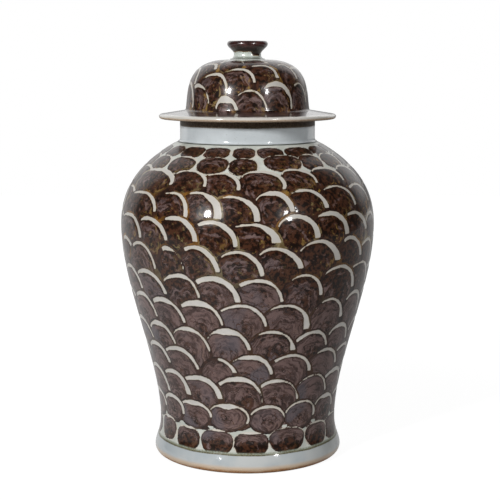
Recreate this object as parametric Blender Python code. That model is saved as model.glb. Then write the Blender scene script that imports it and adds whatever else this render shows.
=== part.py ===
# Lidded temple jar: a thrown stoneware body in three luted sections, and a domed lid that lifts off.
# Every piece is turned about +Z. The origin is the middle of the foot, on the surface the jar stands on.

import math

import bmesh
import bpy
import numpy as np

# Body, in metres: heights from the foot, radii of the outside
BODY_HEIGHT = 0.4447
BELLY_RADIUS = 0.1789
BELLY_HEIGHT = 0.3280
WAIST_RADIUS = 0.1256
WAIST_HEIGHT = 0.0500
SEAM_HEIGHT = 0.2250
BODY_WALL = 0.0090

# Foot ring, recess and floor
FOOT_RADIUS = 0.1248
FOOT_BEAD_RADIUS = 0.1337
FOOT_BEAD_HEIGHT = 0.0095
FOOT_RING_WIDTH = 0.0085
FOOT_RING_ROUNDING = 0.0030
RECESS_DEPTH = 0.0085
FLOOR_THICKNESS = 0.0120
FLOOR_CORNER_RADIUS = 0.0220

# Seat on the shoulder, neck and mouth
SHOULDER_SEAT_RADIUS = 0.0991
THROAT_DEPTH = 0.0042
NECK_HEIGHT = 0.0343
NECK_RADIUS = 0.0948
NECK_WALL = 0.0093
NECK_FOOT_RADIUS = 0.0974
NECK_FOOT_EDGE = 0.0008
NECK_FILLET_HEIGHT = 0.0050
RIM_ROUNDING = 0.0022

# Lid: flat seat, falling brim and dome
BRIM_RADIUS = 0.1242
BRIM_THICKNESS = 0.0089
BRIM_EDGE_THICKNESS = 0.0086
BRIM_FALL = 0.0053
LID_SEAT_OVERHANG = 0.0017
DOME_RADIUS = 0.0865
DOME_HEIGHT = 0.0790
DOME_FILLET = 0.0030
LID_WALL = 0.0080

# Ring under the lid that drops into the neck
RING_DEPTH = 0.0220
RING_WALL = 0.0044
RING_CLEARANCE = 0.0026
RING_ROUNDING = 0.0015

# Knob
KNOB_SEAT_RADIUS = 0.0262
KNOB_FOOT_RADIUS = 0.0243
KNOB_FOOT_EDGE = 0.0008
KNOB_NECK_RADIUS = 0.0188
KNOB_NECK_HEIGHT = 0.0074
KNOB_RADIUS = 0.0282
KNOB_HEIGHT = 0.0254
KNOB_RIM_HEIGHT = 0.0044
KNOB_RIM_ROUNDING = 0.0036

# Gap between pieces that are luted together or rest on each other
SEAT_GAP = 0.0003

# Handles of the curves, as shares of the height or width that each curve spans
BEAD_HANDLE_SHARE = 0.40
WAIST_LOWER_HANDLE_SHARE = 0.50
WAIST_UPPER_HANDLE_SHARE = 0.30
BELLY_LOWER_HANDLE_SHARE = 0.315
BELLY_UPPER_HANDLE_SHARE = 0.27
SHOULDER_REACH_SHARE = 0.90
SHOULDER_DROP_SHARE = 0.333
DOME_LEAN_SHARE = 0.040
DOME_SIDE_HANDLE_SHARE = 0.385
DOME_CROWN_HANDLE_SHARE = 1.0
KNOB_FOOT_HANDLE_SHARE = 0.60
KNOB_FLARE_LOWER_SHARE = 0.36
KNOB_FLARE_UPPER_SHARE = 0.34
WELD_SHARE = 0.00002

# Counts of facets along each stretch, and round the axis
SEGMENT_COUNT = 64
CURVE_SAMPLE_COUNT = 120
FOOT_ROW_COUNT = 5
FLANK_ROW_COUNT = 6
SEAM_TO_BELLY_ROW_COUNT = 3
SHOULDER_ROW_COUNT = 9
INNER_FLANK_ROW_COUNT = 5
INNER_SHOULDER_ROW_COUNT = 6
CORNER_ROW_COUNT = 3
ROUNDING_ROW_COUNT = 2
DOME_ROW_COUNT = 11
INNER_DOME_ROW_COUNT = 8
KNOB_FOOT_ROW_COUNT = 3
KNOB_FLARE_ROW_COUNT = 4

# Edges sharper than this show as edges
SHARP_ANGLE = math.radians(38.0)

# Colours of the glazes: red, green, blue, then roughness
BROWN_GLAZE = (0.060, 0.034, 0.028, 0.18)
DARK_GLAZE = (0.045, 0.024, 0.018, 0.16)
PALE_GLAZE = (0.560, 0.605, 0.600, 0.14)
TOASTED_CLAY = (0.560, 0.360, 0.200, 0.70)
RUST_GLAZE = (0.085, 0.028, 0.018, 0.20)


def curve(start, start_handle, end_handle, end, rows):
    """Cubic Bezier curve of rows + 1 points, each a radius and a height."""
    share = np.linspace(0.0, 1.0, rows + 1)[:, None]
    rest = 1.0 - share
    start, start_handle = np.array(start), np.array(start_handle)
    end_handle, end = np.array(end_handle), np.array(end)
    near = rest ** 3 * start + 3 * rest ** 2 * share * start_handle
    return near + 3 * rest * share ** 2 * end_handle + share ** 3 * end


def rounded(start, corner, end, rows):
    """Quarter of an ellipse from start to end, which leaves both towards the corner."""
    turn = np.linspace(0.0, math.pi / 2, rows + 1)[:, None]
    start, corner, end = np.array(start), np.array(corner), np.array(end)
    return start + end - corner + np.cos(turn) * (corner - end) + np.sin(turn) * (corner - start)


def at_heights(outline, heights):
    """Points of a rising outline at the given heights."""
    radii = np.interp(heights, outline[:, 1], outline[:, 0])
    return np.stack([radii, heights], axis=1)


def inset(outline, wall):
    """A rising outline moved inwards, square to itself, by the wall's thickness."""
    run = np.gradient(outline, axis=0)
    run /= np.linalg.norm(run, axis=1)[:, None]
    return outline + wall * np.stack([-run[:, 1], run[:, 0]], axis=1)


def body_outside():
    """Fine outline of the jar, from the bead of the foot up to the seat of the neck."""
    foot_rise = WAIST_HEIGHT - FOOT_BEAD_HEIGHT
    flank_rise = BELLY_HEIGHT - WAIST_HEIGHT
    shoulder_rise = BODY_HEIGHT - BELLY_HEIGHT
    shoulder_width = BELLY_RADIUS - SHOULDER_SEAT_RADIUS
    foot = curve(
        (FOOT_BEAD_RADIUS, FOOT_BEAD_HEIGHT),
        (FOOT_BEAD_RADIUS, FOOT_BEAD_HEIGHT + BEAD_HANDLE_SHARE * foot_rise),
        (WAIST_RADIUS, WAIST_HEIGHT - WAIST_LOWER_HANDLE_SHARE * foot_rise),
        (WAIST_RADIUS, WAIST_HEIGHT),
        CURVE_SAMPLE_COUNT,
    )
    flank = curve(
        (WAIST_RADIUS, WAIST_HEIGHT),
        (WAIST_RADIUS, WAIST_HEIGHT + WAIST_UPPER_HANDLE_SHARE * flank_rise),
        (BELLY_RADIUS, BELLY_HEIGHT - BELLY_LOWER_HANDLE_SHARE * flank_rise),
        (BELLY_RADIUS, BELLY_HEIGHT),
        CURVE_SAMPLE_COUNT,
    )
    shoulder = curve(
        (BELLY_RADIUS, BELLY_HEIGHT),
        (BELLY_RADIUS, BELLY_HEIGHT + BELLY_UPPER_HANDLE_SHARE * shoulder_rise),
        (SHOULDER_SEAT_RADIUS + SHOULDER_REACH_SHARE * shoulder_width,
         BODY_HEIGHT - SHOULDER_DROP_SHARE * shoulder_rise),
        (SHOULDER_SEAT_RADIUS, BODY_HEIGHT),
        CURVE_SAMPLE_COUNT,
    )
    return np.concatenate([foot[:-1], flank[:-1], shoulder])


def glaze(name, look):
    """Material of one colour and roughness."""
    material = bpy.data.materials.new(name)
    material.use_nodes = True
    shader = material.node_tree.nodes["Principled BSDF"]
    shader.inputs["Base Color"].default_value = (*look[:3], 1.0)
    shader.inputs["Roughness"].default_value = look[3]
    shader.inputs["Metallic"].default_value = 0.0
    material.diffuse_color = (*look[:3], 1.0)
    return material


def turned(name, outline, base, material, carrier=None):
    """Solid turned about +Z from an outline of radius and height, standing at the height base.

    The outline runs from axis to axis, or closes on itself where the piece is a ring.
    """
    shape = bmesh.new()
    corners = [shape.verts.new((radius, 0.0, height - base)) for radius, height in outline]
    for corner, following in zip(corners, corners[1:]):
        shape.edges.new((corner, following))
    if outline[0][0] > 0.0:
        shape.edges.new((corners[-1], corners[0]))
    bmesh.ops.spin(
        shape,
        geom=shape.verts[:] + shape.edges[:],
        cent=(0.0, 0.0, 0.0),
        axis=(0.0, 0.0, 1.0),
        angle=2 * math.pi,
        steps=SEGMENT_COUNT,
        use_merge=True,
    )
    reach = max(radius for radius, height in outline)
    bmesh.ops.remove_doubles(shape, verts=shape.verts[:], dist=WELD_SHARE * reach)
    bmesh.ops.recalc_face_normals(shape, faces=shape.faces[:])
    mesh = bpy.data.meshes.new(name)
    shape.to_mesh(mesh)
    shape.free()
    mesh.shade_smooth()
    mesh.set_sharp_from_angle(angle=SHARP_ANGLE)
    mesh.materials.append(material)
    piece = bpy.data.objects.new(name, mesh)
    bpy.context.scene.collection.objects.link(piece)
    piece.location = (0.0, 0.0, base)
    if carrier:
        piece.parent = carrier
        piece.location.z -= carrier.location.z
    return piece


def belly_heights(base, top, rows):
    """Heights up to the widest point, then on to the top, closer where the shoulder turns in."""
    below = np.linspace(base, BELLY_HEIGHT, SEAM_TO_BELLY_ROW_COUNT + 1)
    above = np.sin(np.linspace(0.0, math.pi / 2, rows + 1))
    return np.concatenate([below[:-1], BELLY_HEIGHT + (top - BELLY_HEIGHT) * above])


def lower_body_outline():
    """Recess, foot ring, bead, waist and flank up to the seam, then back down to the floor."""
    outside = body_outside()
    ring_inner = FOOT_RADIUS - FOOT_RING_WIDTH
    ring_edge = rounded(
        (ring_inner, FOOT_RING_ROUNDING),
        (ring_inner, 0.0),
        (ring_inner + FOOT_RING_ROUNDING, 0.0),
        ROUNDING_ROW_COUNT,
    )
    bead = rounded(
        (FOOT_RADIUS, 0.0),
        (FOOT_BEAD_RADIUS, 0.0),
        (FOOT_BEAD_RADIUS, FOOT_BEAD_HEIGHT),
        CORNER_ROW_COUNT,
    )
    foot = at_heights(outside, np.linspace(FOOT_BEAD_HEIGHT, WAIST_HEIGHT, FOOT_ROW_COUNT + 1))
    flank = at_heights(outside, np.linspace(WAIST_HEIGHT, SEAM_HEIGHT, FLANK_ROW_COUNT + 1))
    floor = RECESS_DEPTH + FLOOR_THICKNESS
    wall_foot = floor + FLOOR_CORNER_RADIUS
    wall = at_heights(
        inset(outside, BODY_WALL), np.linspace(SEAM_HEIGHT, wall_foot, INNER_FLANK_ROW_COUNT + 1)
    )
    wall_radius = wall[-1, 0]
    floor_corner = rounded(
        (wall_radius, wall_foot),
        (wall_radius, floor),
        (wall_radius - FLOOR_CORNER_RADIUS, floor),
        CORNER_ROW_COUNT,
    )
    return np.concatenate([
        [(0.0, RECESS_DEPTH), (ring_inner, RECESS_DEPTH)],
        ring_edge,
        bead,
        foot[1:],
        flank[1:],
        wall,
        floor_corner[1:],
        [(0.0, floor)],
    ])


def upper_body_outline():
    """Belly and shoulder up to the seat of the neck, then the throat and the hollow."""
    outside = body_outside()
    inside = inset(outside, BODY_WALL)
    base = SEAM_HEIGHT + SEAT_GAP
    mouth = NECK_RADIUS - NECK_WALL
    belly = at_heights(outside, belly_heights(base, BODY_HEIGHT, SHOULDER_ROW_COUNT))
    hollow = at_heights(inside, belly_heights(base, inside[-1, 1], INNER_SHOULDER_ROW_COUNT))
    return np.concatenate([
        belly,
        [(mouth, BODY_HEIGHT), (mouth, BODY_HEIGHT - THROAT_DEPTH)],
        hollow[::-1],
    ])


def neck_outline():
    """Upright neck, with a fillet towards the shoulder and a rounded rim."""
    base = BODY_HEIGHT + SEAT_GAP
    rim = BODY_HEIGHT + NECK_HEIGHT
    mouth = NECK_RADIUS - NECK_WALL
    fillet = rounded(
        (NECK_FOOT_RADIUS, base + NECK_FOOT_EDGE),
        (NECK_RADIUS, base + NECK_FOOT_EDGE),
        (NECK_RADIUS, base + NECK_FILLET_HEIGHT),
        CORNER_ROW_COUNT,
    )
    outer_rim = rounded(
        (NECK_RADIUS, rim - RIM_ROUNDING),
        (NECK_RADIUS, rim),
        (NECK_RADIUS - RIM_ROUNDING, rim),
        ROUNDING_ROW_COUNT,
    )
    inner_rim = rounded(
        (mouth + RIM_ROUNDING, rim),
        (mouth, rim),
        (mouth, rim - RIM_ROUNDING),
        ROUNDING_ROW_COUNT,
    )
    return np.concatenate([[(NECK_FOOT_RADIUS, base)], fillet, outer_rim, inner_rim, [(mouth, base)]])


def lid_seat():
    """Height of the flat underside that rests on the rim of the neck."""
    return BODY_HEIGHT + NECK_HEIGHT + SEAT_GAP


def dome_outside(rows):
    """Outline of the dome, from the top of its fillet up to the flat crown under the knob."""
    base = lid_seat() + BRIM_THICKNESS + DOME_FILLET
    crown = lid_seat() + DOME_HEIGHT
    rise = crown - base
    width = DOME_RADIUS - KNOB_SEAT_RADIUS
    return curve(
        (DOME_RADIUS, base),
        (DOME_RADIUS - DOME_LEAN_SHARE * DOME_RADIUS, base + DOME_SIDE_HANDLE_SHARE * rise),
        (KNOB_SEAT_RADIUS + DOME_CROWN_HANDLE_SHARE * width, crown),
        (KNOB_SEAT_RADIUS, crown),
        rows,
    )


def lid_outline():
    """Crown, dome, fillet and brim, round the brim's edge, then the seat and the hollow."""
    seat = lid_seat()
    brim_top = seat + BRIM_THICKNESS
    crown = seat + DOME_HEIGHT
    half_edge = BRIM_EDGE_THICKNESS / 2
    edge_bottom = seat - BRIM_FALL
    edge_middle = edge_bottom + half_edge
    edge_start = BRIM_RADIUS - half_edge
    fillet = rounded(
        (DOME_RADIUS, brim_top + DOME_FILLET),
        (DOME_RADIUS, brim_top),
        (DOME_RADIUS + DOME_FILLET, brim_top),
        ROUNDING_ROW_COUNT,
    )
    upper_edge = rounded(
        (edge_start, edge_bottom + BRIM_EDGE_THICKNESS),
        (BRIM_RADIUS, edge_bottom + BRIM_EDGE_THICKNESS),
        (BRIM_RADIUS, edge_middle),
        CORNER_ROW_COUNT,
    )
    lower_edge = rounded(
        (BRIM_RADIUS, edge_middle),
        (BRIM_RADIUS, edge_bottom),
        (edge_start, edge_bottom),
        CORNER_ROW_COUNT,
    )
    hollow = inset(dome_outside(INNER_DOME_ROW_COUNT), LID_WALL)
    return np.concatenate([
        [(0.0, crown)],
        dome_outside(DOME_ROW_COUNT)[::-1],
        fillet[1:],
        upper_edge,
        lower_edge[1:],
        [(NECK_RADIUS + LID_SEAT_OVERHANG, seat), (DOME_RADIUS - LID_WALL, seat)],
        hollow,
        [(0.0, crown - LID_WALL)],
    ])


def locating_ring_outline():
    """Ring that hangs from the seat of the lid, inside the neck."""
    top = lid_seat() - SEAT_GAP
    bottom = top - RING_DEPTH
    outer = NECK_RADIUS - NECK_WALL - RING_CLEARANCE
    inner = outer - RING_WALL
    outer_edge = rounded(
        (outer, bottom + RING_ROUNDING),
        (outer, bottom),
        (outer - RING_ROUNDING, bottom),
        ROUNDING_ROW_COUNT,
    )
    inner_edge = rounded(
        (inner + RING_ROUNDING, bottom),
        (inner, bottom),
        (inner, bottom + RING_ROUNDING),
        ROUNDING_ROW_COUNT,
    )
    return np.concatenate([[(outer, top)], outer_edge, inner_edge, [(inner, top)]])


def knob_outline():
    """Foot that spreads on the crown, thin neck, flare and a flat top with a rounded rim."""
    base = lid_seat() + DOME_HEIGHT + SEAT_GAP
    neck = base + KNOB_NECK_HEIGHT
    top = base + KNOB_HEIGHT
    rim = top - KNOB_RIM_HEIGHT
    foot_edge = base + KNOB_FOOT_EDGE
    foot = curve(
        (KNOB_FOOT_RADIUS, foot_edge),
        (KNOB_FOOT_RADIUS - KNOB_FOOT_HANDLE_SHARE * (KNOB_FOOT_RADIUS - KNOB_NECK_RADIUS), foot_edge),
        (KNOB_NECK_RADIUS, neck - KNOB_FOOT_HANDLE_SHARE * (neck - foot_edge)),
        (KNOB_NECK_RADIUS, neck),
        KNOB_FOOT_ROW_COUNT,
    )
    flare = curve(
        (KNOB_NECK_RADIUS, neck),
        (KNOB_NECK_RADIUS, neck + KNOB_FLARE_LOWER_SHARE * (rim - neck)),
        (KNOB_RADIUS, rim - KNOB_FLARE_UPPER_SHARE * (rim - neck)),
        (KNOB_RADIUS, rim),
        KNOB_FLARE_ROW_COUNT,
    )
    rim_edge = rounded(
        (KNOB_RADIUS, rim),
        (KNOB_RADIUS, top),
        (KNOB_RADIUS - KNOB_RIM_ROUNDING, top),
        CORNER_ROW_COUNT,
    )
    return np.concatenate([
        [(0.0, base), (KNOB_FOOT_RADIUS, base)],
        foot,
        flare[1:],
        rim_edge[1:],
        [(0.0, top)],
    ])


def build_jar():
    """The standing jar: two thrown sections and the neck, luted one on the other."""
    brown = glaze("brown_glaze", BROWN_GLAZE)
    dark = glaze("dark_brown_glaze", DARK_GLAZE)
    pale = glaze("pale_glaze", PALE_GLAZE)
    turned("lower_body", lower_body_outline(), 0.0, brown)
    turned("upper_body", upper_body_outline(), SEAM_HEIGHT + SEAT_GAP, dark)
    turned("neck_collar", neck_outline(), BODY_HEIGHT + SEAT_GAP, pale)


def build_lid():
    """The lid, which lifts straight up along the axis that its empty marks."""
    lift = bpy.data.objects.new("lid_lift", None)
    lift.location = (0.0, 0.0, lid_seat())
    bpy.context.scene.collection.objects.link(lift)
    ring_base = lid_seat() - SEAT_GAP - RING_DEPTH
    knob_base = lid_seat() + DOME_HEIGHT + SEAT_GAP
    turned("lid", lid_outline(), lid_seat(), glaze("lid_glaze", DARK_GLAZE), lift)
    turned("lid_locating_ring", locating_ring_outline(), ring_base, glaze("bare_clay", TOASTED_CLAY), lift)
    turned("lid_knob", knob_outline(), knob_base, glaze("rust_glaze", RUST_GLAZE), lift)


for leftover in list(bpy.data.objects):
    bpy.data.objects.remove(leftover)
build_jar()
build_lid()
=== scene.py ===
import math

import bpy
import numpy as np
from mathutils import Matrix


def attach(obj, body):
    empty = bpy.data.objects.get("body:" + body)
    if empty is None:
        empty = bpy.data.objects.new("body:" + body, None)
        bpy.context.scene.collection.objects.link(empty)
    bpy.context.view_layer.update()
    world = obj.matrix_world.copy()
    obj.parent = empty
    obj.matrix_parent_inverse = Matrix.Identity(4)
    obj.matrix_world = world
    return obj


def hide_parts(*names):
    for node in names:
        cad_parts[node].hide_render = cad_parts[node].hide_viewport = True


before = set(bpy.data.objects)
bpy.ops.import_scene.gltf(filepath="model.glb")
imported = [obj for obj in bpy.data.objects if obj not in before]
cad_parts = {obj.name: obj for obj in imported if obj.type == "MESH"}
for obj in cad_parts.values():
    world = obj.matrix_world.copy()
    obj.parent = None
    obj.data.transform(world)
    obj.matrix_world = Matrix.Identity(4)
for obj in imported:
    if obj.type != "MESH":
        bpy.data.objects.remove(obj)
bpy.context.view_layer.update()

scene = bpy.context.scene


# Camera, lights and room
# The jar stands on a pale floor, a little below the lens. One lamp stands to the left of the camera, a
# weaker one to the right, both low and narrow, and a white backdrop stands behind the jar.

CAMERA_PLACE = (0.0035, -1.8673, 0.5616)
CAMERA_TILT = 8.29
LAMP_RISE = 20.8
LAMP_DISTANCE = 4.0
LAMP_WIDTH = 0.325
LAMP_HEIGHT = 0.56
LAMP_AIM = 0.36

camera_data = bpy.data.cameras.new("camera")
camera_data.lens = 95.3
camera_data.sensor_width = 36.0
camera = bpy.data.objects.new("camera", camera_data)
camera.location = CAMERA_PLACE
camera.rotation_euler = (math.radians(90.0 - CAMERA_TILT), 0.0, 0.0)
scene.collection.objects.link(camera)
scene.camera = camera
scene.view_settings.view_transform = "Standard"


def lamp(name, azimuth, power):
    """A panel lamp that looks at the jar, its azimuth in degrees from the camera towards the right."""
    turn, rise = math.radians(azimuth), math.radians(LAMP_RISE)
    data = bpy.data.lights.new(name, "AREA")
    data.shape = "RECTANGLE"
    data.size, data.size_y = LAMP_WIDTH, LAMP_HEIGHT
    data.energy = power
    panel = bpy.data.objects.new(name, data)
    away = LAMP_DISTANCE * math.cos(rise)
    height = LAMP_AIM + LAMP_DISTANCE * math.sin(rise)
    panel.location = (away * math.sin(turn), -away * math.cos(turn), height)
    panel.rotation_euler = (math.radians(90.0) - rise, 0.0, turn)
    scene.collection.objects.link(panel)


lamp("left_lamp", azimuth=-36.3, power=136.0)
lamp("right_lamp", azimuth=37.3, power=59.0)


class Wire:
    """A node's output. Arithmetic on wires and numbers adds Math nodes, and node() adds any other kind."""

    def __init__(self, tree, socket=None):
        self.tree = tree
        self.socket = socket

    def node(self, kind, settings=None, inputs=None, output=0):
        """Adds a node of a kind, with its settings first and then the values or wires of its sockets."""
        made = self.tree.nodes.new(kind)
        for name, value in (settings or {}).items():
            setattr(made, name, value)
        for name, value in (inputs or {}).items():
            if isinstance(name, int):
                socket = made.inputs[name]
            else:
                socket = next(s for s in made.inputs if name in (s.identifier, s.name))
            if isinstance(value, Wire):
                self.tree.links.new(value.socket, socket)
            elif isinstance(value, tuple) and socket.type == "RGBA":
                socket.default_value = (*value[:3], 1.0)
            else:
                socket.default_value = value
        if not len(made.outputs):
            return None
        if isinstance(output, int):
            return Wire(self.tree, made.outputs[output])
        return Wire(self.tree, next(s for s in made.outputs if output in (s.identifier, s.name)))

    def math(self, operation, *others):
        """A Math node of this wire and the others."""
        return self.node("ShaderNodeMath", {"operation": operation}, dict(enumerate((self, *others))))

    def __add__(self, other):
        return self.math("ADD", other)

    def __mul__(self, other):
        return self.math("MULTIPLY", other)

    def __sub__(self, other):
        return self.math("SUBTRACT", other)

    def __rsub__(self, other):
        return self.node("ShaderNodeMath", {"operation": "SUBTRACT"}, {0: other, 1: self})

    def __truediv__(self, other):
        return self.math("DIVIDE", other)

    __radd__ = __add__
    __rmul__ = __mul__

    def ramp(self, low, high, start=0.0, end=1.0):
        """Smooth passage from start to end while this wire goes from low to high."""
        return self.node(
            "ShaderNodeMapRange",
            {"interpolation_type": "SMOOTHSTEP"},
            {"Value": self, "From Min": low, "From Max": high, "To Min": start, "To Max": end},
        )

    def fall(self, low, high):
        """Smooth passage from 1 to 0 while this wire goes from low to high."""
        return self.ramp(low, high, 1.0, 0.0)

    def parts(self):
        """The three numbers of a vector wire."""
        return [self.node("ShaderNodeSeparateXYZ", {}, {0: self}, place) for place in range(3)]


def length(x, y, least=0.0):
    """Length of a level vector, with its square raised by least where it is divided by."""
    return (x * x + y * y + least).math("SQRT")


def new_sheet(name):
    """A new material, its empty sheet of nodes, and the wire of a point's place on the object."""
    material = bpy.data.materials.new(name)
    material.use_nodes = True
    material.node_tree.nodes.clear()
    sheet = Wire(material.node_tree)
    return material, sheet, sheet.node("ShaderNodeTexCoord", {}, {}, "Object")


BACKDROP_EDGE = 0.545
BACKDROP_BLUR = 0.03
ROOM_LEVEL = 0.025

world = bpy.data.worlds.new("room")
world.use_nodes = True
scene.world = world
world.node_tree.nodes.clear()
sky = Wire(world.node_tree)
east, north, height = sky.node("ShaderNodeTexCoord", {}, {}, "Generated").parts()
level_length = length(east, north, 1e-6)
straight = north / level_length

# The backdrop behind the jar: dimmer low in its middle, gone near the ceiling. Its left half is brighter
# than its right one, and a bright strip of table lies just under the horizon.
behind = straight.ramp(BACKDROP_EDGE - BACKDROP_BLUR, BACKDROP_EDGE + BACKDROP_BLUR)
behind = behind * straight.ramp(0.80, 0.99, 1.0, 0.55).math("MAXIMUM", height.ramp(0.03, 0.12))
behind = behind * height.fall(0.75, 0.95)
left_level = height.ramp(0.03, 0.30, 0.75, 1.0) * straight.ramp(0.50, 0.80, 0.70, 1.0)
right_level = height.ramp(0.02, 0.20, 0.30, 1.0) * straight.ramp(0.55, 0.80, 0.24, 1.0)
right = (east / level_length).ramp(-0.25, 0.25)
around = left_level + right * (right_level - left_level)
horizon = height.ramp(-0.11, -0.09) * height.fall(-0.035, -0.02)
behind = behind * around.math("MAXIMUM", horizon * 0.9)

# The lens itself sees white all round.
seen = sky.node("ShaderNodeLightPath", {}, {}, "Is Camera Ray")
level = behind.math("MAXIMUM", ROOM_LEVEL)
level = level + seen * (1.0 - level)
background = sky.node("ShaderNodeBackground", {}, {"Color": (1.0, 1.0, 1.0), "Strength": level})
sky.node("ShaderNodeOutputWorld", {}, {"Surface": background})

FLOOR_FRONT = -1.05
FLOOR_BACK = 3.5
FLOOR_SIDE = 3.0
FLOOR_MATT = 0.15
LEFT_MIRROR = 0.62

floor_mesh = bpy.data.meshes.new("floor")
floor_mesh.from_pydata(
    [
        (-FLOOR_SIDE, FLOOR_FRONT, 0.0), (FLOOR_SIDE, FLOOR_FRONT, 0.0),
        (FLOOR_SIDE, FLOOR_BACK, 0.0), (-FLOOR_SIDE, FLOOR_BACK, 0.0),
    ],
    [],
    [(0, 1, 2, 3)],
)
floor = bpy.data.objects.new("floor", floor_mesh)
scene.collection.objects.link(floor)
floor_paint, paper, floor_at = new_sheet("floor_paint")
path = paper.node("ShaderNodeLightPath", {}, {}, "Is Camera Ray")
mirrored = paper.node("ShaderNodeLightPath", {}, {}, "Is Glossy Ray")
matt = paper.node("ShaderNodeBsdfDiffuse", {}, {"Color": (FLOOR_MATT,) * 3})
floor_x, floor_y, _ = floor_at.parts()

# The lens sees the floor almost white, and the glaze mirrors it dimmer, more so on the right.
shine = path * length(floor_x, floor_y).ramp(0.3, 1.3, 0.93, 1.0)
right_side = floor_y.ramp(-0.2, 1.2, 0.22, 0.42)
mirror_level = LEFT_MIRROR + floor_x.ramp(-0.3, 0.5) * (right_side - LEFT_MIRROR)
shine = shine.math("MAXIMUM", mirrored * mirror_level)
glow = paper.node("ShaderNodeEmission", {}, {"Color": (1.0, 1.0, 1.0), "Strength": shine})
lit = paper.node("ShaderNodeAddShader", {}, {0: matt, 1: glow})
paper.node("ShaderNodeOutputMaterial", {}, {"Surface": lit})
floor_mesh.materials.append(floor_paint)


# Lower body
# The lower thrown section of the jar: floor, turned foot ring and recess, waist and flank up to the
# joint below the belly. Painted with iron-brown fish scales under a clear glaze, over a band of pale
# glaze and bare clay at the foot.

BODY_HEIGHT = 0.4447
BELLY_RADIUS = 0.1789
BELLY_HEIGHT = 0.3280
WAIST_RADIUS = 0.1256
WAIST_HEIGHT = 0.0500
JOINT_HEIGHT = 0.22515
BODY_WALL = 0.0090
FOOT_RADIUS = 0.1248
FOOT_BEAD_RADIUS = 0.1337
FOOT_BEAD_HEIGHT = 0.0095
FOOT_RING_WIDTH = 0.0085
FOOT_RING_ROUNDING = 0.0030
RECESS_DEPTH = 0.0085
FLOOR_TOP = 0.0205
FLOOR_CORNER_RADIUS = 0.0220
RECESS_ROUNDING = 0.0010
SHOULDER_SEAT_RADIUS = 0.0991
FOOT_HANDLES = ((0.0, 0.25), (1.0, 0.44))
FLANK_HANDLES = ((0.0, 0.30), (1.0, 0.685))
SHOULDER_HANDLES = ((0.0, 0.27), (0.10, 0.667))
SKIN_COLUMNS = 540
SKIN_STEP = 0.0019
INNER_STEP = 0.012


def curve(start, end, leaving, arriving, count):
    """Cubic Bezier curve: its four points weighted by (1-t)^3, 3t(1-t)^2, 3t^2(1-t) and t^3. The two in
    the middle are given as shares of the way from start to end, across and up."""
    share = np.linspace(0.0, 1.0, count + 1)[:, None]
    rest = 1.0 - share
    start, end = np.array(start), np.array(end)
    way = end - start
    near = rest ** 3 * start + 3 * rest ** 2 * share * (start + np.array(leaving) * way)
    return near + 3 * rest * share ** 2 * (start + np.array(arriving) * way) + share ** 3 * end


def rounded(start, end, count, leaves="upright"):
    """Quarter of an ellipse that leaves its start upright and meets its end level, or the other way."""
    turn = np.linspace(0.0, math.pi / 2, count + 1)[:, None]
    start, end = np.array(start), np.array(end)
    corner = np.array([start[0], end[1]] if leaves == "upright" else [end[0], start[1]])
    return start + end - corner + np.cos(turn) * (corner - end) + np.sin(turn) * (corner - start)


def chained(*parts):
    """Outline made of points and curves in their order. A whole number among them is a straight run of
    that many points between its two neighbours."""
    parts = [part if isinstance(part, int) else np.atleast_2d(part) for part in parts]
    for place, part in enumerate(parts):
        if isinstance(part, int):
            share = np.linspace(0.0, 1.0, part + 2)[1:-1, None]
            parts[place] = parts[place - 1][-1] * (1.0 - share) + parts[place + 1][0] * share
    return np.concatenate(parts)


def run_along(outline):
    """Distance of each point of an outline from its start, along the outline."""
    return np.concatenate([[0.0], np.cumsum(np.hypot(*np.diff(outline, axis=0).T))])


def evenly(outline, step):
    """The same line with its points about one step apart along it."""
    run = run_along(outline)
    at = np.linspace(0.0, run[-1], int(run[-1] / step) + 1)
    return np.stack([np.interp(at, run, outline[:, 0]), np.interp(at, run, outline[:, 1])], axis=1)


def inset(outline, wall):
    """A rising outline moved inwards, square to itself, by the wall's thickness."""
    run = np.gradient(outline, axis=0)
    run /= np.linalg.norm(run, axis=1)[:, None]
    return outline + wall * np.stack([-run[:, 1], run[:, 0]], axis=1)


def between(outline, low, high):
    """The stretch of a rising outline between two heights."""
    inner = outline[(outline[:, 1] > low) & (outline[:, 1] < high)]
    ends = [[np.interp(at, outline[:, 1], outline[:, 0]), at] for at in (low, high)]
    return np.concatenate([ends[:1], inner, ends[1:]])


bead_top, waist = (FOOT_BEAD_RADIUS, FOOT_BEAD_HEIGHT), (WAIST_RADIUS, WAIST_HEIGHT)
belly, shoulder_seat = (BELLY_RADIUS, BELLY_HEIGHT), (SHOULDER_SEAT_RADIUS, BODY_HEIGHT)
bead = rounded((FOOT_RADIUS, 0.0), bead_top, 12, "level")
jar_outside = chained(
    curve(bead_top, waist, *FOOT_HANDLES, 200)[:-1],
    curve(waist, belly, *FLANK_HANDLES, 400)[:-1],
    curve(belly, shoulder_seat, *SHOULDER_HANDLES, 400),
)
jar_inside = inset(jar_outside, BODY_WALL)
jar_run = run_along(jar_outside)


def jar_level(height):
    """Distance along the jar's outline, in millimetres, of a height in millimetres."""
    return np.interp(np.asarray(height) / 1000.0, jar_outside[:, 1], jar_run) * 1000.0


def jar_radius(level):
    """Radius of the jar in millimetres at a distance along its outline in millimetres."""
    return np.interp(np.asarray(level) / 1000.0, jar_run, jar_outside[:, 0]) * 1000.0


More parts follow.
